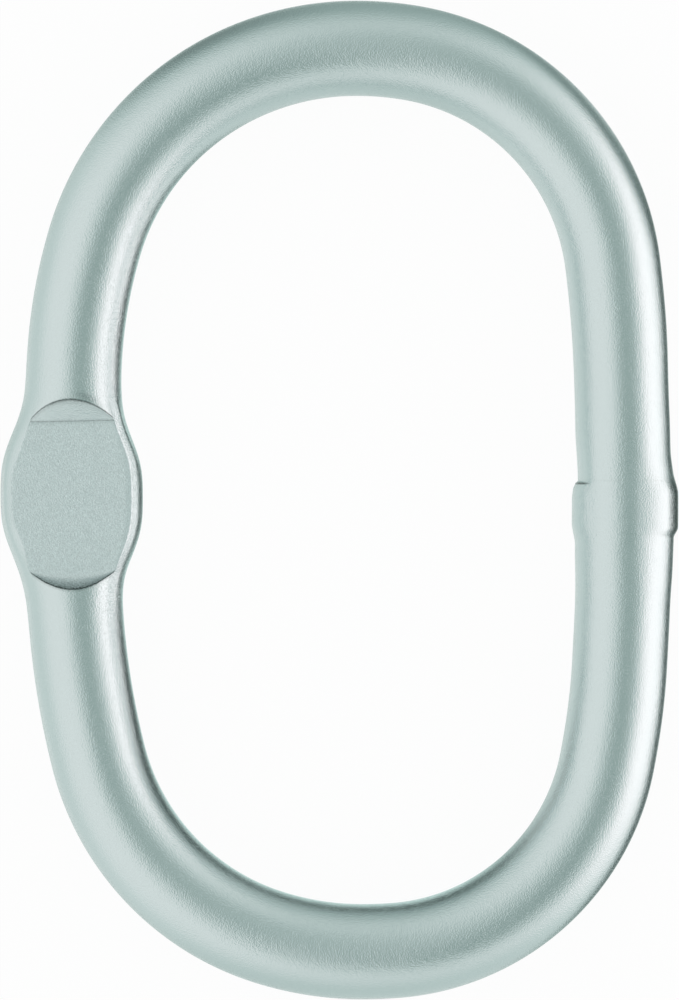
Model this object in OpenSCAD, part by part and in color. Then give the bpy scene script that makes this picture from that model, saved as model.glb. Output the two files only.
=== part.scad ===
// Oblong master link for a lifting chain: one round stainless bar bent to a closed eye,
// with a flat pad pressed in one leg and the butt weld that closes it in the other.
// Millimetres. The link lies flat in XY with its length along Y. The origin is the
// middle of its bounding box, on the middle plane of the bar.

/* [Eye] */
// Diameter of the round bar
bar_d = 13; // [10:0.5:16]
// Inside length of the eye, from crown to crown
eye_length = 110; // [100:1:140]
// Inside width of the eye, between the straight legs
eye_width = 61.5; // [56:0.5:72]
// How far the crowns sit from the middle of the eye, towards the welded leg
crown_shift = 1.65; // [0:0.05:3]
// Radius of the bar's centreline at the crowns
crown_r = 40.5; // [37:0.5:44]
// Height above the middle of the link up to which the pad's leg is straight
pad_leg_up = 16; // [10:0.5:19]
// Depth below the middle of the link down to which the pad's leg is straight
pad_leg_down = 11.5; // [8:0.5:16]
// Half length of the welded leg where it is straight
weld_leg = 18.5; // [12:0.5:20]

/* [Pressed pad] */
// Width of the leg at the middle of the pad
pad_w = 19.3; // [17:0.1:22]
// Thickness of the leg between the two pressed flats
pad_t = 8.4; // [6:0.1:10]
// Length of each flat along the leg
pad_length = 20.4; // [14:0.2:24]
// Height of the pad's middle above the middle of the link
pad_y = 0.6; // [-3:0.1:3]
// How far the pad's axis stands outside the leg's centreline
pad_out = 0.4; // [0:0.05:0.8]
// How far each cheek's axis stands from the pad's axis
pad_spread = 2.8; // [1:0.1:4]
// Radius of the swollen side of the leg, seen from the front
swell_r = 23; // [18:0.5:30]
// Radius that runs from the swelling back into the bar
swell_fillet = 15; // [10:0.5:20]
// Slope of the press mark at the upper end of the flat, in degrees
ramp_angle = 43; // [30:1:60]
// Radius of the press mark at the lower end of the flat
heel_r = 2.5; // [1.5:0.1:3.5]

/* [Butt weld] */
// Width of the collar that the weld leaves round the bar
weld_w = 14.4; // [13.8:0.1:16]
// How far the collar stands above the bar on the front and the back
weld_rise = 0.2; // [0.1:0.05:0.6]
// Length of the collar along the leg
weld_length = 7.2; // [4:0.1:10]
// Height of the collar's middle above the middle of the link
weld_y = -1.3; // [-4:0.1:4]
// How far the collar stands outside the leg's centreline
weld_out = 0.5; // [0:0.05:0.6]
// Radius of the collar's barrel shape along the leg
weld_barrel_r = 20; // [14:0.5:30]
// Radius of the collar's rounded edges
weld_edge = 0.7; // [0.2:0.1:1.2]

/* [Hidden] */

round_fn = 72;
profile_fn = 144;
steel = "#c6d0cf";

// The swelling starts this far under the bar's surface, so the two cross at an angle
bury = 0.2;
// What the press takes away reaches this far past the steel
margin = 1;
// The wedges that cut the arcs to length reach this far, past the largest bend
far = 250;

bar_r = bar_d / 2;
// From the middle of the link to the centreline of a crown
half_height = eye_length / 2 + bar_r;
// Between the centrelines of the two legs
leg_gap = eye_width + bar_d;
// The box runs from the outside of the pad to the outside of the collar
half_box = (pad_w / 2 + pad_out + leg_gap + weld_out + weld_w / 2) / 2;
pad_leg_x = pad_w / 2 + pad_out - half_box;
weld_leg_x = pad_leg_x + leg_gap;
crown_x = (pad_leg_x + weld_leg_x) / 2 + crown_shift;

// The closed bar is two crown arcs and two sides. A side runs from crown to crown through
// a shoulder arc, a flank arc, the straight leg and the same two arcs again, all tangent.
// The arcs meet on these directions, seen from their centres. They are the sides of a
// 7-24-25 triangle, which keeps every centre and joint a round number.
crown_joint = [0.28, 0.96];
flank_joint = [0.96, 0.28];

function hundredths(x) = round(100 * x) / 100;

// Radius of a side's shoulder, from the width and the height that it, its flank and half the
// crown have to span
function shoulder_r(width, leg) =
    let (
        span = [width, half_height - leg] - crown_r * [crown_joint.x, 1 - crown_joint.y],
        shoulder = [flank_joint.x - crown_joint.x, crown_joint.y - flank_joint.y],
        flank = [1 - flank_joint.x, flank_joint.y]
    )
    hundredths(cross(span, flank) / cross(shoulder, flank));

// Radius of its flank, which takes up the rest of the width to the last hundredth
function flank_r(width, shoulder) =
    let (rest = width - crown_r * crown_joint.x - shoulder * (flank_joint.x - crown_joint.x))
    rest / (1 - flank_joint.x);

// From the middle of the link to the end of the straight leg
function straight(shoulder, flank) =
    half_height - crown_r + (crown_r - shoulder) * crown_joint.y
    + (shoulder - flank) * flank_joint.y;

// Bar bent to radius r about the origin, between two directions
module bent_bar(r, from, to) {
    intersection() {
        rotate_extrude($fn = round_fn)
            translate([r, 0])
                circle(d = bar_d, $fn = round_fn);
        translate([0, 0, -bar_d])
            linear_extrude(2 * bar_d)
                polygon(far * [[0, 0], from, from + to, to]);
    }
}

// One end of a side, towards +X from a crown at x = 0. Each arc's centre lies on the line
// through the last centre and the joint between the two.
module side_end(shoulder, flank) {
    translate([0, half_height - crown_r, 0])
        translate((crown_r - shoulder) * crown_joint) {
            bent_bar(shoulder, crown_joint, flank_joint);
            translate((shoulder - flank) * flank_joint)
                bent_bar(flank, flank_joint, [1, 0]);
        }
}

// One side of the eye, whose leg is straight up to one height and down to one depth
module side(width, up, down) {
    upper = shoulder_r(width, up);
    lower = shoulder_r(width, down);
    top = straight(upper, flank_r(width, upper));
    bottom = straight(lower, flank_r(width, lower));
    side_end(upper, flank_r(width, upper));
    mirror([0, 1, 0])
        side_end(lower, flank_r(width, lower));
    translate([width, -bottom, 0])
        rotate([-90, 0, 0])
            cylinder(h = top + bottom, d = bar_d, $fn = round_fn);
}

module eye() {
    translate([crown_x, 0, 0]) {
        for (end = [0, 1])
            mirror([0, end, 0])
                translate([0, half_height - crown_r, 0])
                    bent_bar(crown_r, [-crown_joint.x, crown_joint.y], crown_joint);
        side(weld_leg_x - crown_x, weld_leg, weld_leg);
        mirror([1, 0, 0])
            side(crown_x - pad_leg_x, pad_leg_up, pad_leg_down);
    }
}

// Side of a cheek as a profile to turn about the cheek's axis: a crown arc, and at each end
// a fillet arc tangent to it that dives under the bar's surface
module swell_profile() {
    crown_c = pad_w / 2 - pad_spread - swell_r;
    fillet_c = bar_r - pad_out - pad_spread - bury + swell_fillet;
    reach = sqrt(pow(swell_r + swell_fillet, 2) - pow(fillet_c - crown_c, 2));
    share = swell_r / (swell_r + swell_fillet);
    meet_r = crown_c + share * (fillet_c - crown_c);
    meet_y = share * reach;
    intersection() {
        translate([crown_c, 0])
            circle(r = swell_r, $fn = profile_fn);
        translate([0, -meet_y])
            square([pad_w, 2 * meet_y]);
    }
    difference() {
        translate([0, -reach])
            square([meet_r, 2 * reach]);
        for (end = [-1, 1])
            translate([fillet_c, end * reach])
                circle(r = swell_fillet, $fn = profile_fn);
    }
}

// Leg spread by the press: a round cheek on each side, on axes to the left and the right of
// the pad's
module pad_swell() {
    for (cheek = [-1, 1])
        translate([pad_leg_x - pad_out + cheek * pad_spread, pad_y, 0])
            rotate([-90, 0, 0])
                rotate_extrude($fn = round_fn)
                    swell_profile();
}

// What one die takes from the swelling: a flat, a straight ramp above it and a round heel
// below it
module press_mark() {
    face = pad_t / 2;
    clear = pad_w / 2 + margin;
    half = pad_length / 2;
    width = pad_w + 2 * margin;
    translate([pad_leg_x - pad_out - width / 2, pad_y, 0])
        rotate([90, 0, 90])
            linear_extrude(width) {
                polygon([
                    [-half, face],
                    [half, face],
                    [half + (clear - face) / tan(ramp_angle), clear],
                    [-half - heel_r, clear],
                    [-half - heel_r, face + heel_r]
                ]);
                translate([-half, face + heel_r])
                    circle(r = heel_r, $fn = profile_fn);
            }
}

// Side of the collar as a profile to turn about the leg: a barrel arc, and at each end an
// edge arc tangent to it
module collar_profile(r) {
    barrel_c = r - weld_barrel_r;
    edge_y = weld_length / 2 - weld_edge;
    reach = weld_barrel_r - weld_edge;
    edge_x = barrel_c + sqrt(pow(reach, 2) - pow(edge_y, 2));
    meet_y = edge_y * weld_barrel_r / reach;
    intersection() {
        translate([barrel_c, 0])
            circle(r = weld_barrel_r, $fn = profile_fn);
        translate([0, -meet_y])
            square([2 * r, 2 * meet_y]);
    }
    translate([0, -weld_length / 2])
        square([edge_x, weld_length]);
    for (end = [-1, 1])
        translate([edge_x, end * edge_y])
            circle(r = weld_edge, $fn = round_fn);
}

// Upset collar round the weld, thicker on the two sides than on the front and the back
module weld_collar() {
    r = bar_r + weld_rise;
    spread = weld_w / 2 - r;
    for (cheek = [-1, 1])
        translate([weld_leg_x + weld_out + cheek * spread, weld_y, 0])
            rotate([-90, 0, 0])
                rotate_extrude($fn = round_fn)
                    collar_profile(r);
}

module master_link() {
    color(steel)
        difference() {
            union() {
                eye();
                pad_swell();
                weld_collar();
            }
            for (face = [0, 1])
                mirror([0, 0, face])
                    press_mark();
        }
}

master_link();
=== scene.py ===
"""Looks of an oblong master link: a round stainless bar bent to a closed eye, with a flat pad
pressed in one leg and the butt weld in the other, lying on a pale floor in a light tent."""

from typing import NamedTuple

import bpy
import numpy as np
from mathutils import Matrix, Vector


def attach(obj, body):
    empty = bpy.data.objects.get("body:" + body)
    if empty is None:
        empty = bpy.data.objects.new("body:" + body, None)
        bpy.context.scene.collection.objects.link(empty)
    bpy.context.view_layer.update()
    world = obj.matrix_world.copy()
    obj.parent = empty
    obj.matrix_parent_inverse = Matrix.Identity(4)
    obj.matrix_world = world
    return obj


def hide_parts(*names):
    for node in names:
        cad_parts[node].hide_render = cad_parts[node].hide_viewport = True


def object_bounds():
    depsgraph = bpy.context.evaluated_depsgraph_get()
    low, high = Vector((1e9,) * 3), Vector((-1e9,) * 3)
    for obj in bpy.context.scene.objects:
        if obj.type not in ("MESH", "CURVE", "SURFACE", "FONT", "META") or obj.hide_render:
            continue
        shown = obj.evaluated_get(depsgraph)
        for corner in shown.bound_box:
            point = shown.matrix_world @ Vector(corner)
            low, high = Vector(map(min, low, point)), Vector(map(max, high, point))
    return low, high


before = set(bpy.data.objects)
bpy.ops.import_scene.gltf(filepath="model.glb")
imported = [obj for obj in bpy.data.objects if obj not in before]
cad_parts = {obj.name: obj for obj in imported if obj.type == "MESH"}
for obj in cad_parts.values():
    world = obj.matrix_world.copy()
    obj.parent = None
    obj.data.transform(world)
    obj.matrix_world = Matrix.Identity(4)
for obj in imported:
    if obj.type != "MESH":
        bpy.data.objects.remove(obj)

bl_info = {
    "name": "Oblong Master Link",
    "version": (1, 0),
    "blender": (4, 5, 0),
    "location": "3D View > Sidebar > Master Link",
    "description": "Builds a welded stainless master link with a pressed pad, and a plain studio round it",
    "category": "Add Mesh",
}

CAD_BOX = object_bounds()
# The link's shape is worked out in millimetres, and this takes it to metres
MM = 0.001

# The four quarters of the bar, each from a crown to a leg: radius (mm) and angle (degrees)
# of the crown's arc, half length (mm) of the straight leg, angle (degrees) of the flank's arc
QUARTERS = {
    "lower_right": (61.0, 4.2, 12.8, 11.0),
    "upper_right": (45.0, 9.3, 9.2, 7.1),
    "upper_left": (38.0, 20.5, 15.3, 16.5),
    "lower_left": (41.9, 18.4, 7.6, 14.0),
}
# How many short steps the centreline is summed in
CENTRELINE_STEPS = 12000

# Rows across the bar (mm). Plain rows stand about this far apart.
ROW_STEP = 0.56
# Places of the rows across the weld, up the leg from its middle, and the steps between them
WELD_PLACES = (-14, -6.2, -5.5, -4.6, -3, 1, 2, 2.9, 3.8, 8, 14)
WELD_STEPS = (14, 7, 12, 9, 10, 9, 14, 6, 10, 10)
# How far the pad's rows reach up and down the leg. They close up from this far above the
# ramp's upper edge, and the last steps before that edge, and those beside the mark's other
# lines, take up only this much.
PAD_UP, PAD_DOWN = 20, -18
CLOSE_FROM, TOP_STEPS, LINE_STEP = 1, 0.154, 0.11
# Parts of the pad, from its top down, and between each two knots of its rows the part that
# they bound and the number of steps
ABOVE, ON_RAMP, ON_FLAT, ON_HEEL, BELOW = range(5)
PAD_STEPS = (
    (ABOVE, 18), (ABOVE, 7), (ABOVE, 2), (ON_RAMP, 10), (ON_RAMP, 1), (ON_FLAT, 1),
    (ON_FLAT, 44), (ON_HEEL, 12), (ON_HEEL, 2), (BELOW, 1), (BELOW, 18))
# Columns round a quarter of the section: degrees past the flat's edge, and the steps
EDGE_DEGREES = (-5, -1.5, 0, 1.5, 5)
SECTION_STEPS = (13, 2, 1, 1, 2, 16)
# Faces that meet at more than this are shaded with a sharp edge between them
SHARP_DEGREES = 28

# How the press spreads the leg on the outer and the inner side of the eye (mm): how far, where
# along the leg its middle is, how far it reaches from there, and how square it is
OUTER_SWELL = (3.49, 0.82, 9.75, 2.9)
INNER_SWELL = (2.93, 0.34, 9.0, 3.05)
# Each side's spread is full down to this cosine of the section, and fades from there to 0
SWELL_FADE = 0.55
# How far the cheeks stand out of the round between the middle plane and the flat (mm): at the
# shoulder, how near the flat the shoulder is, and at the flat's edge
OUTER_CHEEK = (0.23, 2.55, 0.08)
INNER_CHEEK = (0.0505, 1.94, -0.0404)
# A band is a height (mm), then the slope above it and the slope below it, each from where it
# starts to where the band is full (mm up the leg, from its middle). These are how far the
# outer flat's edge draws in towards the ends of the pad, and how much fuller the inner cheek's
# shoulder is there, with its own nearness to the flat.
EDGE_DRAWN_IN = ((0.6, (30, 25), (3.1, 7.6)), (0.6, (-1.9, -6.4), (-9, -6.5)))
INNER_FULLER = ((0.28, (15, 11.5), (2.5, 7)), (0.1, (-2, -6), (-13, -9.5)))
FULLER_SKEW = 2.55

# Bands of the weld's collar
OUTER_COLLAR = (
    # the flare over the weld, the weld's own step, and the wider bar under it
    (0.58, (7.2, 1.0), (-5.2, -3.7)),
    (0.43, (3.8, 0.6), (-5.2, -3.7)),
    (0.46, (-3.7, -5.2), (-15, -5.5)),
)
INNER_COLLAR = (
    # the ledge at the top, its round edge and the rise below it, less the fall behind it
    (0.34, (2.62, 2.25), (-6.2, -3.0)),
    (0.26, (2.45, 1.5), (-6.2, -3.0)),
    (0.15, (1.8, 0), (-6.2, -3.0)),
    (-0.25, (2.6, 1.6), (-6.2, -3.0)),
    # the bar is thinner over the ledge
    (-0.3, (10, 3), (1.4, 2.6)),
)
FRONT_COLLAR = (
    # the whole collar, and the fine step of its two seams
    (0.06, (4.5, 0.5), (-6.5, -3.5)),
    (0.012, (2.66, 2.5), (-4.7, -4.5)),
)
# How the welded leg sways from its straight line: how far (mm), where up the leg, how long
LEG_SWAY = ((-0.13, 15, 6.5), (-0.15, -19, 6), (-0.09, -7, 2.8))
# How much thinner the leg is drawn on each side above the weld, in the same way
LEG_NECK = (-0.07, 15, 6)

# The press mark (mm). The break line tilts this much over half the flat's width, and waves
# this little, with so many radians over that width.
LINE_TILT, LINE_WAVE, WAVE_RADIANS = -0.135, 0.012, 9
# How far the ramp's upper edge and the heel's lower edge bow from their lines, and the power
# that shapes each bow. The ramp's bow leans towards the outer side.
RAMP_BOW, RAMP_POWER, RAMP_LEAN = 2.8, 0.78, 0.12
HEEL_BOW, HEEL_POWER = 2.47, 0.95
# Both bows end this far off their lines, and go on by this much for each half width past the
# flat
BOW_END, BOW_BEYOND = 0.12, 1.5
# The ramp's upper edge stands this much over the bar, before the two are smoothly joined. The
# bar has a groove above the edge: its depth, how far it is full, and how long it fades.
RAMP_LIP = 0.05
GROOVE_DEPTH, GROOVE_FULL, GROOVE_FADE = 0.1, 0.1, 0.45
# The groove is full where the bar stands this far above the flat
GROOVE_RISE = 0.8
# The heel rises with this power of the distance from its line
HEEL_HOLLOW = 2.2
# A strip of the flat along its inner edge slopes away: its greatest width, where up the leg
# that is, how far the strip reaches from there, and its slope
STRIP_WIDTH, STRIP_MIDDLE, STRIP_REACH, STRIP_SLOPE = 0.7, 0.7, 10, 0.12
# How far the press mark's edges are rounded, and how much more along the flat from this far
# inside its two ends
EDGE_ROUND, EDGE_SOFT, SOFT_FROM = 0.01, 0.05, 2
# Steel that was pressed down this far has the die's finish in full
PRESSED_DEPTH = 0.05

# Fine lines of painted shade in the creases of the press mark: how dark, and how far above its edge and
# how wide (mm)
BREAK_LINE = (0.5, 0, 0.09)
TOP_LINE = (0.75, 0.06, 0.1)
LOW_LINE = (0.8, 0, 0.1)
# Shade of the heel, and the power it grows with towards the heel's lower edge
HEEL_SHADE, HEEL_SHADE_POWER = 0.72, 1.6
# Shade of the ramp, how far under its upper edge it is darkest, and how long it fades from
# there. From the second of these cosines of the section to the first it falls to a half.
RAMP_SHADE, RAMP_SHADE_UNDER, RAMP_SHADE_FADE = 0.3, 0.25, 0.3
RAMP_SHADE_SIDE = (-0.35, 0)
# Painted shade on the bar over the ramp: how dark, how far up and how long (mm), and where and how wide on
# the section's cosine
SMUDGE = (0.25, 0.75, 0.5, -0.27, 0.217)
# The press leaves this much of its pebbled finish on the ramp
RAMP_PEBBLE = 0.3

# Round the section, each form of the weld starts at the first cosine and is full at the second
ALL_ROUND = (-2, -1)
OUTER_SIDE, INNER_SIDE = (0.35, 1), (-0.6, -1)
# The collar's front fades towards its sides with this power of the sine
FRONT_POWER = 1.5
# Painted shade on the outer side of the weld's collar near its edge, where the steel reflects dark, as a
# band and its cosines
WELD_SKIN = ((0.62, (3.4, 1.6), (-5.4, -4.2)),)
SKIN_REACH = (0.79, 0.9)
# Fine lines of painted shade in the weld's notch and at its seams: how dark, where up the leg and how wide
# (mm), and the cosines
WELD_LINES = (
    # the notch on the inner side, and the upper and the lower seam
    (0.95, 2.25, 0.13, (-0.66, -0.84)),
    (0.03, 2.65, 0.12, ALL_ROUND),
    (0.03, -4.7, 0.12, (-0.2, 0.4)),
)

# The steel's finish. The blasted grain and the broad dents are bumps of these depths, and a
# dent is as wide as this many grains.
GRAIN_DEPTH = 0.056 * MM
DENT_DEPTH = 0.02 * MM
DENT_GRAINS = 6
# Colour of the pressed flats, paler partly from the die's finish and partly as painted light, and of the
# painted shade in the press mark's creases and round the weld, as sRGB hex values
PRESSED_STEEL = "dee8e9"
CREVICE_DIRT = "3a4542"
# How much rougher the pressed flats are, and how many of their pebbles fit a grain
PRESSED_ROUGHER = 0.2
PEBBLES = 1.6
# How much the bar's grain and the flats' pebbles are squeezed along each axis, or drawn out
# where the number is under 1
GRAIN_SQUEEZE = (1, 1.1, 1)
PEBBLE_SQUEEZE = (1, 0.6, 1)
# Nearly all of the noise lies between these. From the first to the second it takes the painted shade, the
# bar's faint pits and the flats' pebbles from the first factor to the second.
NOISE_SPAN = {"From Min": 0.3, "From Max": 0.7}
DIRT_FACTORS = {"To Min": 1.4, "To Max": 0.6}
PIT_FACTORS = {"To Min": 0.975, "To Max": 1.02}
PEBBLE_FACTORS = {"To Min": 0.895, "To Max": 1.09}

# The light tent is set out on a round plan, as a polished ball shows it to the camera above:
# its middle is straight up, 0.71 from there the horizon, and 1 straight down. Each card is a
# soft ellipse laid over the ones before it: its middle, its half sizes, its turn in degrees,
# how soft its edge is, and its light.
TENT_LIGHT = 1.01
TENT_CARDS = {
    "left_wall": (-0.86, 0.18, 0.14, 1.2, 8.7, 0.95, 0.84),
    "lower_wall": (-0.45, -0.9, 1.5, 0.26, 7.6, 0.95, 0.76),
    "upper_wall": (0.8, 1.33, 1.47, 0.48, 23, 0.7, 0.42),
    "lens_shade": (0.15, 0.05, 0.24, 0.376, 19.5, 0.62, 0.56),
    "lens": (0.1, -0.224, 0.14, 0.185, -13.8, 0.95, 0.41),
    "strip_light": (0.81, 0.3, 0.26, 0.72, -19, 0.36, 1.46),
    "upper_flag": (-0.48, 0.8, 0.32, 0.16, 11.5, 0.84, 0.3),
    "corner_flag": (0.784, 0.4, 0.612, 0.103, -55.7, 0.73, 0.25),
}
# Outside the first of these ellipses of the plan the table's dark edge shows, and outside the
# second the white sheet under it
TENT_RIMS = ((-0.08, 0.1, 0.98, 1.2, 0, 0.05, 0.02), (0, 0, 0.985, 0.985, 0, 0.02, 0.85))
# Cast of the tent where its light is as low as the first light, and as high as the second
CAST_LIGHTS = (0.4, 1.3)
LOW_CAST = (0.8, 1.0, 0.95, 1.0)
HIGH_CAST = (1.1, 1.0, 1.01, 1.0)

# Share of haze that the steel sees on the floor's frosted sheet, and its cool colour
HAZE = 0.1
HAZE_COLOUR = (0.82, 1.0, 0.96, 1.0)
# Share of its own shade that the floor keeps for the camera
FLOOR_SHADE = 0.05
# The eye's edge on the floor is close to an oval with straight sides (mm): its middle between
# the legs, how much it is stretched across to make its ends round, half the length of the
# straight sides, and the radius of the ends
EYE_MIDDLE, EYE_STRETCH, EYE_STRAIGHT, EYE_RADIUS = 1.15, 1.1, 21, 34
# Way across the floor towards the eye's lower left, and where on it (mm) the painted strip of light next
# to the bar and the painted dark card of shade beside it fade in
LOWER_LEFT, LEFT_SLOPE = (-0.8, -0.338, 0), (-4.65, 6.2)
# The painted strip of light is lit more by this share of haze, from and to these distances inside the
# eye's edge (mm). Neither it nor the painted card of shade goes on past the middle of the bar.
LIT_SHARE, LIT_SLOPE, BAR_SLOPE = 0.75, (9, 3.5), (-6, -5)
# The painted card of shade is this dark. It rises and falls over these distances inside the edge, and
# fades in past the pad, over these distances up and down from the middle.
CARD_SHARE, CARD_RISE, CARD_FALL, CARD_ENDS = 0.66, (7, 12), (30, 18), (11, 17)

# Half the side of the floor, and the camera's height over the middle of the link (m)
FLOOR_REACH = 3.0
CAMERA_HEIGHT = 0.6


# Settings


class LinkShape(bpy.types.PropertyGroup):
    bar_r: bpy.props.FloatProperty(
        name="Bar Radius", description="Radius of the round bar",
        default=6.48 * MM, min=0.004, max=0.01, precision=5, unit="LENGTH")
    half_height: bpy.props.FloatProperty(
        name="Half Height", description="From the middle of the link to the centreline of a crown",
        default=61.43 * MM, min=0.04, max=0.09, precision=5, unit="LENGTH")
    pad_leg_x: bpy.props.FloatProperty(
        name="Pad Leg", description="Place of the pad's leg across the link",
        default=-36.15 * MM, min=-0.05, max=-0.02, precision=5, unit="LENGTH")
    weld_leg_x: bpy.props.FloatProperty(
        name="Weld Leg", description="Place of the welded leg across the link",
        default=38.58 * MM, min=0.02, max=0.05, precision=5, unit="LENGTH")
    top_x: bpy.props.FloatProperty(
        name="Upper Crown", description="Place of the upper crown across the link",
        default=2.3 * MM, min=-0.01, max=0.01, precision=5, unit="LENGTH")
    bottom_x: bpy.props.FloatProperty(
        name="Lower Crown", description="Place of the lower crown across the link",
        default=3.07 * MM, min=-0.01, max=0.01, precision=5, unit="LENGTH")
    face_z: bpy.props.FloatProperty(
        name="Pad Face", description="Height of the pressed flats from the middle plane",
        default=4.2 * MM, min=0.002, max=0.006, precision=5, unit="LENGTH")
    ramp_y: bpy.props.FloatProperty(
        name="Ramp Line", description="Where the flat breaks into the straight ramp",
        default=10.745 * MM, min=0.005, max=0.015, precision=5, unit="LENGTH")
    heel_y: bpy.props.FloatProperty(
        name="Heel Line", description="Where the flat curves up into the heel",
        default=-9.6 * MM, min=-0.015, max=-0.005, precision=5, unit="LENGTH")


class LinkFinish(bpy.types.PropertyGroup):
    steel: bpy.props.StringProperty(
        name="Steel", description="Colour of the pickled steel, as an sRGB hex value",
        default="cdd9d9")
    roughness: bpy.props.FloatProperty(
        name="Roughness", description="Roughness of the blasted and pickled surface",
        default=0.2, min=0.0, max=1.0, subtype="FACTOR")
    # The real grain is about 0.1 mm wide, too fine for a picture of the whole link, so it is
    # drawn twice as coarse
    grain: bpy.props.FloatProperty(
        name="Grain", description="Width of one grain of the blasted surface",
        default=0.2 * MM, min=0.00005, max=0.001, precision=5, unit="LENGTH")


class LinkStudio(bpy.types.PropertyGroup):
    view_height: bpy.props.FloatProperty(
        name="View Height", description="Height of the picture, measured on the link",
        default=136 * MM, min=0.05, max=0.5, unit="LENGTH")
    floor_colour: bpy.props.StringProperty(
        name="Floor", description="Colour of the floor, as an sRGB hex value",
        default="fafafa")


# The bar's centreline


def quarter_arcs(crown_r, crown_deg, leg, flank_deg, width, height):
    """Arcs of one quarter from crown to leg, as (length, turn in radians).

    The crown arc, a shoulder, a flank and the straight leg are tangent to each other. With
    a and b the directions at the two joints, the radii s of the shoulder and f of the flank
    solve  width = crown_r sin a + s (sin b - sin a) + f (1 - sin b)  and
    height - leg = crown_r (1 - cos a) + s (cos a - cos b) + f cos b."""
    a, b = np.radians(crown_deg), np.radians(90 - flank_deg)
    spans = [[np.sin(b) - np.sin(a), 1 - np.sin(b)], [np.cos(a) - np.cos(b), np.cos(b)]]
    left = [width - crown_r * np.sin(a), height - leg - crown_r * (1 - np.cos(a))]
    shoulder, flank = np.linalg.solve(spans, left)
    turns = np.array([a, b - a, np.pi / 2 - b, 0])
    lengths = np.array([crown_r, shoulder, flank, 0]) * turns + [0, 0, 0, leg]
    return np.stack([lengths, turns], axis=1)


def centreline(shape):
    """Closed centreline of the bar, anticlockwise from the lower crown, in millimetres.

    The direction grows along each arc in step with its length, and the place is the running
    sum of the direction's cosine and sine. Returns tables of length, direction, x and y, and
    the lengths at the middle of the welded leg and of the pad's leg."""
    half_height = shape.half_height / MM

    def quarter(name, crown_x, leg_x):
        return quarter_arcs(*QUARTERS[name], abs(leg_x - crown_x) / MM, half_height)

    quarters = [
        quarter("lower_right", shape.bottom_x, shape.weld_leg_x),
        quarter("upper_right", shape.top_x, shape.weld_leg_x)[::-1],
        quarter("upper_left", shape.top_x, shape.pad_leg_x),
        quarter("lower_left", shape.bottom_x, shape.pad_leg_x)[::-1],
    ]
    knots = np.concatenate([[[0, 0]], np.cumsum(np.concatenate(quarters), axis=0)])
    s, step = np.linspace(0, knots[-1, 0], CENTRELINE_STEPS + 1, retstep=True)
    turn = np.interp(s, knots[:, 0], knots[:, 1])
    mid = (turn[1:] + turn[:-1]) / 2
    x = shape.bottom_x / MM + np.concatenate([[0], np.cumsum(np.cos(mid))]) * step
    y = -half_height + np.concatenate([[0], np.cumsum(np.sin(mid))]) * step
    share = s / s[-1]
    x -= share * (x[-1] - x[0])
    y -= share * (y[-1] - y[0])
    ends = np.cumsum([quarter[:, 0].sum() for quarter in quarters])
    return (s, turn, x, y), ends[0], ends[2]


# The bar's surface


def smooth(t):
    """3t^2 - 2t^3 from 0 to 1, flat outside."""
    t = np.clip(t, 0, 1)
    return t * t * (3 - 2 * t)


def ramp(x, start, end):
    """Smooth step of x from 0 at start to 1 at end."""
    return smooth((x - start) / (end - start))


def near(a, width):
    """Bell of a: exp(-(a / width)^2)."""
    return np.exp(-(a / width) ** 2)


def hump(t, skew):
    """Hump that is 0 at t = 0 and t = 1: sin(pi t^skew)^2."""
    return np.sin(np.pi * t ** skew) ** 2


def soft_min(a, b, reach):
    """Smaller of a and b with a round corner: min(a, b) - h^2 reach / 4, where h falls from 1
    where the two are equal to 0 where they are reach apart."""
    h = np.clip(reach - np.abs(a - b), 0, None) / reach
    return np.minimum(a, b) - h * h * reach / 4


def bands(y, table):
    """Sum of raised bands: each is its height times the smooth steps of its two slopes."""
    return sum(height * ramp(y, *above) * ramp(y, *below) for height, above, below in table)


def swelling(y, swell):
    """Outline of a swelling: far exp(-(|y - middle| / reach)^square)."""
    far, middle, reach, square = swell
    return far * np.exp(-(np.abs(y - middle) / reach) ** square)


def spread(knots, counts):
    """Rows through the knots, with the given number of steps between each pair.

    knots is an array of rows or of rows by columns; each step is an equal share. Returns the
    rows, and after which knot each lies."""
    knots = np.asarray(knots, float)
    at = np.concatenate([[0], np.cumsum(counts)])
    rows = np.arange(at[-1])
    low = np.searchsorted(at, rows, side="right") - 1
    part = (rows - at[low]) / np.asarray(counts)[low]
    if knots.ndim > 1:
        part = part[:, None]
    return knots[low] * (1 - part) + knots[low + 1] * part, low


def section_angles(bar_r, face):
    """Angles round the bar's section, from the outer side of the eye over the front, and the
    cosine at the edge of the pressed flats.

    The columns stand closest at that edge, where the sine is face / bar_r."""
    edge = np.degrees(np.arcsin(face / bar_r))
    first, _ = spread([0, *(edge + np.array(EDGE_DEGREES)), 90], SECTION_STEPS)
    half = np.concatenate([first, 180 - np.concatenate([[90], first[:0:-1]])])
    return np.radians(np.concatenate([half, half + 180])), np.cos(np.radians(edge))


class PadRows(NamedTuple):
    """Rows across the pad (mm up the leg): the height of each row in each column, which part of
    the pad each row is on, and the lines of the press mark in each column."""
    y: np.ndarray
    part: np.ndarray
    top: np.ndarray
    line: np.ndarray
    heel: np.ndarray
    low: np.ndarray


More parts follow.
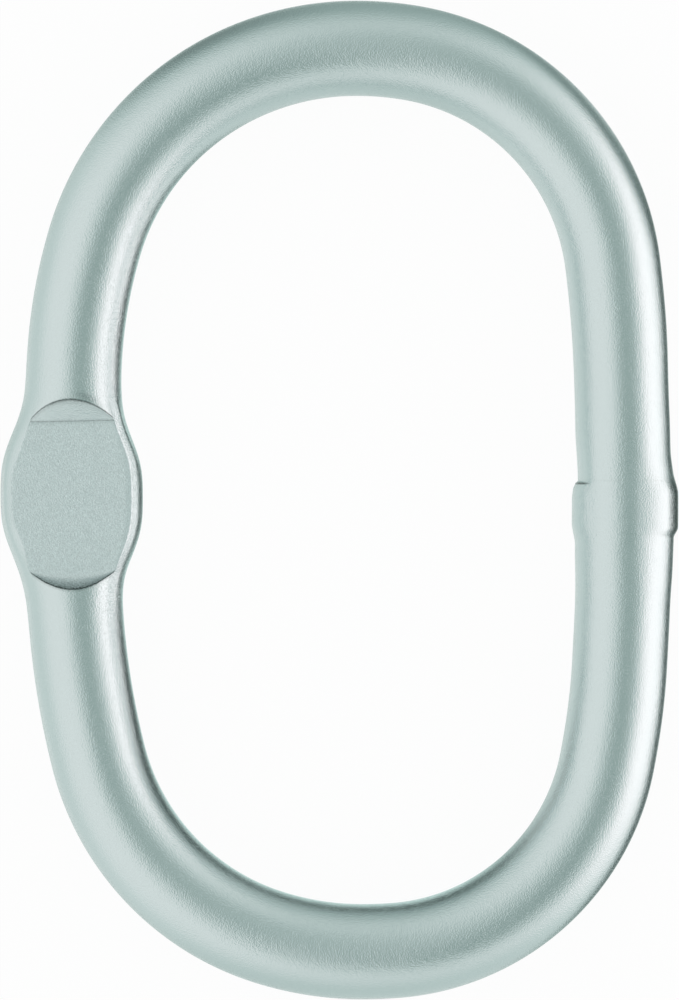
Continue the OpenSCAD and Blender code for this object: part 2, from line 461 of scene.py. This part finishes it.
def pad_rows(shape, cosine, edge_cosine):
    """Rows that follow the lines of the press mark, so that these stay sharp.

    With c the place over the flat from -1 to 1, and e = lean (1 - c^2) - c, the ramp's upper
    edge is a bow over the break line, bow (1 - e^2)^power, and the heel's lower edge a bow
    under the flat, bow (1 - c^2)^power."""
    c = cosine / edge_cosine
    inside = np.clip(1 - c * c, 0, 1)
    e = np.clip(RAMP_LEAN * inside - c, -1, 1)
    end = BOW_END + BOW_BEYOND * np.clip(np.abs(c) - 1, 0, None)
    wave = LINE_WAVE * np.sin(WAVE_RADIANS * c) * (inside > 0)
    line = shape.ramp_y / MM + LINE_TILT * c + wave
    top = line + end + RAMP_BOW * np.clip(1 - e * e, 0, 1) ** RAMP_POWER
    heel = np.full_like(c, shape.heel_y / MM)
    low = heel - end - HEEL_BOW * inside ** HEEL_POWER
    knots = np.stack([
        np.full_like(c, PAD_UP), top + CLOSE_FROM, top + TOP_STEPS, top, line + LINE_STEP, line,
        line - LINE_STEP, heel, low + LINE_STEP, low, low - LINE_STEP, np.full_like(c, PAD_DOWN)])
    parts, counts = zip(*PAD_STEPS)
    y, after = spread(knots, counts)
    return PadRows(y, np.array(parts)[after][:, None], top, line, heel, low)


def bar_rows(total, s_weld, s_pad, pad_y):
    """Length along the centreline of each point of the bar, and which rows are the pad's.

    Plain rows fill the bar between the weld's rows and the pad's."""
    def plain(start, end):
        return spread([start, end], [int((end - start) / ROW_STEP)])[0]

    stretches = [
        plain(0, s_weld + WELD_PLACES[0]),
        s_weld + spread(WELD_PLACES, WELD_STEPS)[0],
        plain(s_weld + WELD_PLACES[-1], s_pad - PAD_UP),
        s_pad - pad_y,
        plain(s_pad - PAD_DOWN, total),
    ]
    before = sum(len(rows) for rows in stretches[:3])
    columns = pad_y.shape[1]
    along = [rows if rows.ndim > 1 else np.repeat(rows[:, None], columns, axis=1)
             for rows in stretches]
    return np.concatenate(along), slice(before, before + len(pad_y))


def cheeks(y, t, cosine, outer, inner):
    """How far the pad's cheeks stand out of the round, as a shift across the leg.

    t runs from 0 on the middle plane to 1 at the flat. A cheek's shoulder is a hump of t, and
    its edge moves with t^3."""
    shoulder, skew, edge = OUTER_CHEEK
    edge = edge - bands(y, EDGE_DRAWN_IN)
    outer_cheek = outer / OUTER_SWELL[0] * (shoulder * hump(t, skew) + edge * t ** 3)
    shoulder, skew, edge = INNER_CHEEK
    inner_cheek = inner / INNER_SWELL[0] * (shoulder * hump(t, skew) + edge * t ** 3)
    inner_cheek += bands(y, INNER_FULLER) * hump(t, FULLER_SKEW)
    return np.where(cosine > 0, outer_cheek, -inner_cheek)


def press_mark(rows, z, across, edge, face, cosine):
    """Height of the pad's surface after the press.

    edge is how far out the inner edge of the flat lies. The bar's surface is cut down to the
    ramp, which runs straight from the flat to its lip, to the flat, and to the heel, which
    curves up with a power of the distance from its line."""
    rise = (rows.y - rows.line) / (rows.top - rows.line)
    fall = np.clip((rows.heel - rows.y) / (rows.heel - rows.low), 0, 1)
    reach = (rows.y - STRIP_MIDDLE) / STRIP_REACH
    strip = STRIP_WIDTH * np.sqrt(np.clip(1 - reach ** 2, 0, 1)) - (edge - np.abs(across))
    strip = np.where(cosine < 0, np.clip(strip, 0, None), 0)
    press = np.select(
        [rows.part == ON_RAMP, rows.part == ON_FLAT, rows.part == ON_HEEL],
        [face + (z + RAMP_LIP - face) * rise, face - STRIP_SLOPE * strip,
         face + (z - face) * fall ** HEEL_HOLLOW],
        default=np.inf)
    groove = np.exp(-(rows.y - rows.top - GROOVE_FULL) / GROOVE_FADE)
    groove = np.clip(groove, 0, 1) * (rows.part == ABOVE)
    z = z - GROOVE_DEPTH * groove * ramp(z, face, face + GROOVE_RISE)
    soft = ramp(rows.y, rows.heel, rows.heel + SOFT_FROM) * ramp(rows.y, rows.line, rows.line - SOFT_FROM)
    return soft_min(z, press, EDGE_SOFT * soft + EDGE_ROUND)


def pad_shade(rows, over, cosine):
    """How dark the painted shade of the lines, the heel, the ramp and the patch over the ramp is.

    A line is a bell of the distance from it, and the ramp's shade falls off exponentially.
    over is where the bar stood above the flat before the press."""
    def fine_line(place, dark, above, width):
        return dark * near(rows.y - place - above, width)

    shade = (fine_line(rows.line, *BREAK_LINE) + fine_line(rows.top, *TOP_LINE)
             + fine_line(rows.low, *LOW_LINE))
    fall = np.clip((rows.heel - rows.y) / (rows.heel - rows.low), 0, 1)
    shade += HEEL_SHADE * fall ** HEEL_SHADE_POWER * (rows.part == ON_HEEL)
    under = np.exp(-np.abs(rows.y - rows.top + RAMP_SHADE_UNDER) / RAMP_SHADE_FADE)
    under = under * (1 + ramp(cosine, *RAMP_SHADE_SIDE)) / 2
    shade += RAMP_SHADE * under * (rows.part == ON_RAMP)
    dark, up, length, middle, width = SMUDGE
    smudge = near(rows.y - rows.top - up, length) * near(cosine - middle, width)
    return shade * over + dark * smudge * (rows.part == ABOVE)


def weld_shade(y, cosine):
    """How dark the painted shade on the collar's outer side, in the weld's notch and at its seams is. A
    line is a bell of the distance from it, times a smooth step of the section's cosine."""
    shade = bands(y, WELD_SKIN) * ramp(cosine, *SKIN_REACH)
    for dark, place, width, reach in WELD_LINES:
        shade += dark * near(y - place, width) * ramp(cosine, *reach)
    return shade


def build_bar(shape):
    """Grid of points over the whole bar: rows along it by columns round it, in metres.

    A row's centre comes from the centreline, and a column's place in the section is
    (r cos + shift, r sin), where shift is how far the press and the weld spread the leg.
    Returns the points, how much painted shade each takes, and how much it was pressed."""
    bar_r, face = shape.bar_r / MM, shape.face_z / MM
    (s, turn, cx, cy), s_weld, s_pad = centreline(shape)
    angle, edge_cosine = section_angles(bar_r, face)
    cosine, sine = np.cos(angle), np.sin(angle)
    rows = pad_rows(shape, cosine, edge_cosine)
    along, in_pad = bar_rows(s[-1], s_weld, s_pad, rows.y)

    # height on each of the two legs, far away elsewhere
    weld = along - s_weld
    pad = s_pad - along

    outer, inner = swelling(pad, OUTER_SWELL), swelling(pad, INNER_SWELL)
    side = np.sin(np.pi / 2 * np.clip(cosine / SWELL_FADE, -1, 1))
    t = np.clip(np.abs(sine) * bar_r / face, 0, 1)
    shift = np.where(cosine > 0, outer, inner) * side + cheeks(pad, t, cosine, outer, inner)
    shift += bands(weld, OUTER_COLLAR) * ramp(cosine, *OUTER_SIDE)
    shift -= bands(weld, INNER_COLLAR) * ramp(cosine, *INNER_SIDE)
    shift += sum(far * near(weld - place, length) for far, place, length in LEG_SWAY)
    far, place, length = LEG_NECK
    shift += far * near(weld - place, length) * cosine

    radius = bar_r + bands(weld, FRONT_COLLAR) * np.abs(sine) ** FRONT_POWER
    across = radius * cosine + shift
    height = radius * np.abs(sine)

    before = height[in_pad].copy()
    inner_edge = bar_r * edge_cosine + inner[in_pad]
    height[in_pad] = press_mark(rows, before, across[in_pad], inner_edge, face, cosine)

    crevice = weld_shade(weld, cosine)
    crevice[in_pad] += pad_shade(rows, before > face, cosine)
    on_mark = (rows.part != ABOVE) & (rows.part != BELOW)
    pebble = np.where(rows.part == ON_RAMP, RAMP_PEBBLE, 1.0) * on_mark
    pressed = np.zeros_like(along)
    pressed[in_pad] = np.clip((before - height[in_pad]) / PRESSED_DEPTH, 0, 1) * pebble

    heading = np.interp(along, s, turn)
    points = np.stack([
        np.interp(along, s, cx) + across * np.sin(heading),
        np.interp(along, s, cy) - across * np.cos(heading),
        np.sign(sine) * height], axis=-1)
    return points * MM, {"crevice": crevice, "pressed": pressed}


def ring_mesh(name, points, values):
    """Mesh of a grid that closes on itself both ways, with its faces outwards."""
    rows, columns = points.shape[:2]
    index = np.arange(rows * columns).reshape(rows, columns)
    ahead = np.roll(index, -1, axis=0)
    quads = np.stack([index, ahead, np.roll(ahead, -1, axis=1), np.roll(index, -1, axis=1)], axis=-1)
    mesh = bpy.data.meshes.new(name)
    mesh.from_pydata(points.reshape(-1, 3), [], quads.reshape(-1, 4))
    for key, value in values.items():
        attribute = mesh.attributes.new(key, "FLOAT", "POINT")
        attribute.data.foreach_set("value", value.astype(np.float32).ravel())
    mesh.shade_smooth()
    mesh.set_sharp_from_angle(angle=np.radians(SHARP_DEGREES))
    mesh.validate()
    return mesh


# Materials and light


def linear(colour):
    """sRGB hex value to a linear colour: c / 12.92 near black, ((c + 0.055) / 1.055)^2.4 above."""
    part = np.array([int(colour[i:i + 2], 16) for i in (0, 2, 4)]) / 255
    part = np.where(part <= 0.04045, part / 12.92, ((part + 0.055) / 1.055) ** 2.4)
    return (*part.tolist(), 1.0)


def add_node(tree, kind, inputs=(), **settings):
    """Adds a node with its settings. inputs gives each socket's value, or the socket that it
    is linked to."""
    node = tree.nodes.new(kind)
    for name, value in settings.items():
        setattr(node, name, value)
    for key, value in dict(inputs).items():
        if isinstance(value, bpy.types.NodeSocket):
            tree.links.new(value, node.inputs[key])
        else:
            node.inputs[key].default_value = value
    return node


def new_material(name):
    material = bpy.data.materials.new(name)
    material.use_nodes = True
    material.node_tree.nodes.clear()
    return material, material.node_tree


def pickled_stainless(finish):
    """Blasted and pickled stainless steel: shot leaves a fine even grain, and the acid a
    clean silver grey with a slight cool cast and no scale."""
    material, tree = new_material("pickled_stainless")
    place = add_node(tree, "ShaderNodeTexCoord").outputs["Object"]
    pressed = add_node(tree, "ShaderNodeAttribute", attribute_name="pressed").outputs["Fac"]
    crevice = add_node(tree, "ShaderNodeAttribute", attribute_name="crevice").outputs["Fac"]

    # broad dents under a fine grain
    squeeze = add_node(tree, "ShaderNodeMapping", {"Vector": place, "Scale": GRAIN_SQUEEZE})
    grain = add_node(tree, "ShaderNodeTexNoise", {
        "Vector": squeeze.outputs["Vector"], "Scale": 1 / finish.grain, "Detail": 1.0,
        "Roughness": 0.5}).outputs["Fac"]
    dents = add_node(tree, "ShaderNodeTexNoise", {
        "Vector": place, "Scale": 1 / (DENT_GRAINS * finish.grain), "Detail": 1.0})
    bump = add_node(tree, "ShaderNodeBump", {
        "Height": dents.outputs["Fac"], "Strength": 1.0, "Distance": DENT_DEPTH})
    bump = add_node(tree, "ShaderNodeBump", {
        "Height": grain, "Strength": 1.0, "Distance": GRAIN_DEPTH,
        "Normal": bump.outputs["Normal"]})

    # the flats are rougher, and paler partly as painted light, and the painted shade of the creases and
    # the weld is broken up by the grain
    rough = add_node(tree, "ShaderNodeMapRange", {
        "Value": pressed, "To Min": finish.roughness, "To Max": finish.roughness + PRESSED_ROUGHER})
    base = add_node(tree, "ShaderNodeMix", {
        "Factor": pressed, "A": linear(finish.steel), "B": linear(PRESSED_STEEL)},
        data_type="RGBA")
    broken = add_node(tree, "ShaderNodeMapRange", {"Value": grain, **NOISE_SPAN, **DIRT_FACTORS})
    depth = add_node(tree, "ShaderNodeMath", {
        0: crevice, 1: broken.outputs["Result"]}, operation="MULTIPLY", use_clamp=True)
    tint = add_node(tree, "ShaderNodeMix", {
        "Factor": depth.outputs[0], "A": base.outputs["Result"], "B": linear(CREVICE_DIRT)},
        data_type="RGBA")

    # faint pits in the bar, and the die's pebbles in the flats
    pits = add_node(tree, "ShaderNodeMapRange", {"Value": grain, **NOISE_SPAN, **PIT_FACTORS})
    squeeze = add_node(tree, "ShaderNodeMapping", {"Vector": place, "Scale": PEBBLE_SQUEEZE})
    pebbles = add_node(tree, "ShaderNodeTexNoise", {
        "Vector": squeeze.outputs["Vector"], "Scale": PEBBLES / finish.grain, "Detail": 0.5,
        "Roughness": 0.5})
    die = add_node(tree, "ShaderNodeMapRange", {
        "Value": pebbles.outputs["Fac"], **NOISE_SPAN, **PEBBLE_FACTORS})
    marks = add_node(tree, "ShaderNodeMix", {
        "Factor": pressed, "A": pits.outputs["Result"], "B": die.outputs["Result"]})
    colour = add_node(tree, "ShaderNodeMix", {
        "Factor": 1.0, "A": tint.outputs["Result"], "B": marks.outputs["Result"]},
        data_type="RGBA", blend_type="MULTIPLY")
    shader = add_node(tree, "ShaderNodeBsdfPrincipled", {
        "Base Color": colour.outputs["Result"], "Metallic": 1.0,
        "Roughness": rough.outputs["Result"], "Normal": bump.outputs["Normal"]})
    add_node(tree, "ShaderNodeOutputMaterial", {"Surface": shader.outputs["BSDF"]})
    return material


def soft_card(tree, plan, card, under):
    """Light of the tent with one more card laid over it.

    With r the length of the place in the ellipse's own half sizes, the card covers
    3t^2 - 2t^3, where t runs from 1 at r = 1 - soft to 0 at r = 1 + soft."""
    x, y, half_x, half_y, turn, soft, light = card
    place = add_node(tree, "ShaderNodeMapping", {
        "Vector": plan, "Location": (x, y, 0), "Rotation": (0, 0, np.radians(turn)),
        "Scale": (half_x, half_y, 1)}, vector_type="TEXTURE")
    length = add_node(tree, "ShaderNodeVectorMath", {0: place.outputs["Vector"]}, operation="LENGTH")
    cover = add_node(tree, "ShaderNodeMapRange", {
        "Value": length.outputs["Value"], "From Min": 1 - soft, "From Max": 1 + soft,
        "To Min": 1.0, "To Max": 0.0}, interpolation_type="SMOOTHSTEP")
    return add_node(tree, "ShaderNodeMix", {
        "Factor": cover.outputs["Result"], "A": under, "B": light}).outputs["Result"]


def light_tent(name):
    """World of a white tent with a few grey cards, one strip light and the dark lens above.

    A direction's place on the plan is (x, y) / sqrt(2 (1 + z))."""
    world = bpy.data.worlds.new(name)
    world.use_nodes = True
    tree = world.node_tree
    tree.nodes.clear()
    way = add_node(tree, "ShaderNodeTexCoord").outputs["Generated"]
    part = add_node(tree, "ShaderNodeSeparateXYZ", {0: way})
    # the little extra keeps the root away from 0 straight down
    rise = add_node(tree, "ShaderNodeMath", {
        0: part.outputs["Z"], 1: 2.0, 2: 2.0 + 1e-4}, operation="MULTIPLY_ADD")
    root = add_node(tree, "ShaderNodeMath", {0: rise.outputs[0]}, operation="INVERSE_SQRT")
    ball = add_node(tree, "ShaderNodeVectorMath", {
        0: way, "Scale": root.outputs[0]}, operation="SCALE")
    plan = add_node(tree, "ShaderNodeVectorMath", {
        0: ball.outputs[0], 1: (1, 1, 0)}, operation="MULTIPLY").outputs[0]

    light = TENT_LIGHT
    for card in TENT_CARDS.values():
        light = soft_card(tree, plan, card, light)
    for *ellipse, beyond in TENT_RIMS:
        light = soft_card(tree, plan, (*ellipse, light), beyond)

    # the haze that the frosted sheet adds is taken off the lower half
    low = add_node(tree, "ShaderNodeMapRange", {
        "Value": light, "From Min": HAZE, "From Max": 1.0, "To Min": 0.0, "To Max": 1.0},
        clamp=False)
    low = add_node(tree, "ShaderNodeMath", {0: low.outputs["Result"], 1: 0.0}, operation="MAXIMUM")
    below = add_node(tree, "ShaderNodeMath", {0: part.outputs["Z"], 1: 0.0}, operation="LESS_THAN")
    light = add_node(tree, "ShaderNodeMix", {
        "Factor": below.outputs[0], "A": light, "B": low.outputs[0]}).outputs["Result"]

    tone = add_node(tree, "ShaderNodeMapRange", {
        "Value": light, "From Min": CAST_LIGHTS[0], "From Max": CAST_LIGHTS[1]})
    cast = add_node(tree, "ShaderNodeMix", {
        "Factor": tone.outputs["Result"], "A": LOW_CAST, "B": HIGH_CAST}, data_type="RGBA")
    tent = add_node(tree, "ShaderNodeBackground", {"Color": cast.outputs["Result"], "Strength": light})
    white = add_node(tree, "ShaderNodeBackground", {"Color": (1, 1, 1, 1), "Strength": 1.0})
    path = add_node(tree, "ShaderNodeLightPath")
    shown = add_node(tree, "ShaderNodeMixShader", {
        0: path.outputs["Is Camera Ray"], 1: tent.outputs[0], 2: white.outputs[0]})
    add_node(tree, "ShaderNodeOutputWorld", {"Surface": shown.outputs[0]})
    return world


def soft_cover(tree, share, slopes):
    """Share times 3t^2 - 2t^3 for each slope, where t runs from 0 to 1 as the slope's value goes
    from its start to its end (mm)."""
    for value, (start, end) in slopes:
        slope = add_node(tree, "ShaderNodeMapRange", {
            "Value": value, "From Min": start * MM, "From Max": end * MM},
            interpolation_type="SMOOTHSTEP")
        share = add_node(tree, "ShaderNodeMath", {
            0: slope.outputs["Result"], 1: share}, operation="MULTIPLY").outputs[0]
    return share


def eye_covers(tree):
    """Covers of the painted strip of light on the sheet inside the eye, next to the bar, and of the
    painted grey card of shade beside it.

    The distance inside the eye's edge is the radius less the length of
    (stretch (x - middle), max(|y| - straight, 0))."""
    place = add_node(tree, "ShaderNodeTexCoord").outputs["Object"]
    part = add_node(tree, "ShaderNodeSeparateXYZ", {0: place})
    across = add_node(tree, "ShaderNodeMath", {
        0: part.outputs["X"], 1: EYE_STRETCH, 2: -EYE_STRETCH * EYE_MIDDLE * MM},
        operation="MULTIPLY_ADD")
    up = add_node(tree, "ShaderNodeMath", {0: part.outputs["Y"]}, operation="ABSOLUTE").outputs[0]
    past = add_node(tree, "ShaderNodeMath", {0: up, 1: EYE_STRAIGHT * MM}, operation="SUBTRACT")
    past = add_node(tree, "ShaderNodeMath", {0: past.outputs[0], 1: 0.0}, operation="MAXIMUM")
    oval = add_node(tree, "ShaderNodeCombineXYZ", {0: across.outputs[0], 1: past.outputs[0]})
    oval = add_node(tree, "ShaderNodeVectorMath", {0: oval.outputs[0]}, operation="LENGTH")
    inward = add_node(tree, "ShaderNodeMath", {
        0: EYE_RADIUS * MM, 1: oval.outputs["Value"]}, operation="SUBTRACT").outputs[0]
    left = add_node(tree, "ShaderNodeVectorMath", {
        0: place, 1: LOWER_LEFT}, operation="DOT_PRODUCT").outputs["Value"]
    both = [(inward, BAR_SLOPE), (left, LEFT_SLOPE)]
    strip = soft_cover(tree, LIT_SHARE, both + [(inward, LIT_SLOPE)])
    card = soft_cover(tree, CARD_SHARE, both + [
        (inward, CARD_RISE), (inward, CARD_FALL), (up, CARD_ENDS)])
    return strip, card


def studio_floor(colour):
    """Frosted white sheet. The camera sees it near white with a little of the link's shadow, and the
    steel's edges see it as a pale haze over the lower half of the tent, with a painted strip of light and
    a painted grey card of shade on it inside the eye."""
    material, tree = new_material("frosted_sheet")
    sheet = add_node(tree, "ShaderNodeBsdfDiffuse", {"Color": linear(colour), "Roughness": 0.5})
    white = add_node(tree, "ShaderNodeEmission", {"Color": (1, 1, 1, 1), "Strength": 1.0})
    frost = add_node(tree, "ShaderNodeEmission", {"Color": HAZE_COLOUR, "Strength": 1.0})
    black = add_node(tree, "ShaderNodeEmission", {"Color": (0, 0, 0, 1), "Strength": 0.0})
    clear = add_node(tree, "ShaderNodeBsdfTransparent")
    path = add_node(tree, "ShaderNodeLightPath")

    # a painted strip of light and a painted card of shade, which the steel sees in the sheet inside the
    # eye
    strip, card = eye_covers(tree)
    haze = add_node(tree, "ShaderNodeMath", {0: strip, 1: HAZE}, operation="ADD")
    haze = add_node(tree, "ShaderNodeMixShader", {
        0: haze.outputs[0], 1: clear.outputs[0], 2: frost.outputs[0]})
    haze = add_node(tree, "ShaderNodeMixShader", {0: card, 1: haze.outputs[0], 2: black.outputs[0]})

    seen = add_node(tree, "ShaderNodeMixShader", {
        0: FLOOR_SHADE, 1: white.outputs[0], 2: sheet.outputs[0]})
    plain = add_node(tree, "ShaderNodeMixShader", {
        0: path.outputs["Is Camera Ray"], 1: sheet.outputs[0], 2: seen.outputs[0]})
    mirrored = add_node(tree, "ShaderNodeMath", {
        0: path.outputs["Is Glossy Ray"], 1: path.outputs["Is Transmission Ray"]},
        operation="MAXIMUM")
    mirrored = add_node(tree, "ShaderNodeMath", {
        0: mirrored.outputs[0], 1: path.outputs["Is Shadow Ray"]}, operation="MAXIMUM")
    mix = add_node(tree, "ShaderNodeMixShader", {
        0: mirrored.outputs[0], 1: plain.outputs[0], 2: haze.outputs[0]})
    add_node(tree, "ShaderNodeOutputMaterial", {"Surface": mix.outputs["Shader"]})
    return material


# Operators, panel and registration


class AddLink(bpy.types.Operator):
    """Builds the bar with its pressed pad and its weld, in place of the plain solid"""
    bl_idname = "master_link.add_link"
    bl_label = "Add Link"

    def execute(self, context):
        points, values = build_bar(context.scene.link_shape)
        mesh = ring_mesh("link_bar", points, values)
        mesh.materials.append(pickled_stainless(context.scene.link_finish))
        link = bpy.data.objects.new("link_bar", mesh)
        context.scene.collection.objects.link(link)
        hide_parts("master_link")
        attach(link, "root")
        return {"FINISHED"}


class AddStudio(bpy.types.Operator):
    """Lays the floor, hangs the light tent and sets the camera straight over the link"""
    bl_idname = "master_link.add_studio"
    bl_label = "Add Studio"

    def execute(self, context):
        studio = context.scene.link_studio
        floor_z = CAD_BOX[0][2]
        mesh = bpy.data.meshes.new("floor")
        mesh.from_pydata(
            [(-FLOOR_REACH, -FLOOR_REACH, floor_z), (FLOOR_REACH, -FLOOR_REACH, floor_z),
             (FLOOR_REACH, FLOOR_REACH, floor_z), (-FLOOR_REACH, FLOOR_REACH, floor_z)],
            [], [(0, 1, 2, 3)])
        mesh.materials.append(studio_floor(studio.floor_colour))
        floor = bpy.data.objects.new("floor", mesh)
        context.scene.collection.objects.link(floor)

        context.scene.world = light_tent("light_tent")

        camera_data = bpy.data.cameras.new("camera")
        camera_data.type = "ORTHO"
        camera_data.sensor_fit = "VERTICAL"
        camera_data.ortho_scale = studio.view_height
        camera_data.clip_end = 10
        camera = bpy.data.objects.new("camera", camera_data)
        camera.location = (0, 0, CAMERA_HEIGHT)
        context.scene.collection.objects.link(camera)
        context.scene.camera = camera
        context.scene.view_settings.view_transform = "Standard"
        return {"FINISHED"}


class LinkPanel(bpy.types.Panel):
    bl_idname = "VIEW3D_PT_master_link"
    bl_label = "Master Link"
    bl_space_type = "VIEW_3D"
    bl_region_type = "UI"
    bl_category = "Master Link"

    def draw(self, context):
        for group in (context.scene.link_shape, context.scene.link_finish, context.scene.link_studio):
            for name in group.bl_rna.properties.keys():
                if name not in ("rna_type", "name"):
                    self.layout.prop(group, name)
        for operator in (AddLink, AddStudio):
            self.layout.operator(operator.bl_idname)


CLASSES = (LinkShape, LinkFinish, LinkStudio, AddLink, AddStudio, LinkPanel)


def register():
    for cls in CLASSES:
        bpy.utils.register_class(cls)
    bpy.types.Scene.link_shape = bpy.props.PointerProperty(type=LinkShape)
    bpy.types.Scene.link_finish = bpy.props.PointerProperty(type=LinkFinish)
    bpy.types.Scene.link_studio = bpy.props.PointerProperty(type=LinkStudio)


def unregister():
    del bpy.types.Scene.link_shape
    del bpy.types.Scene.link_finish
    del bpy.types.Scene.link_studio
    for cls in reversed(CLASSES):
        bpy.utils.unregister_class(cls)


def main():
    register()
    bpy.ops.master_link.add_link()
    bpy.ops.master_link.add_studio()


if __name__ == "__main__":
    main()
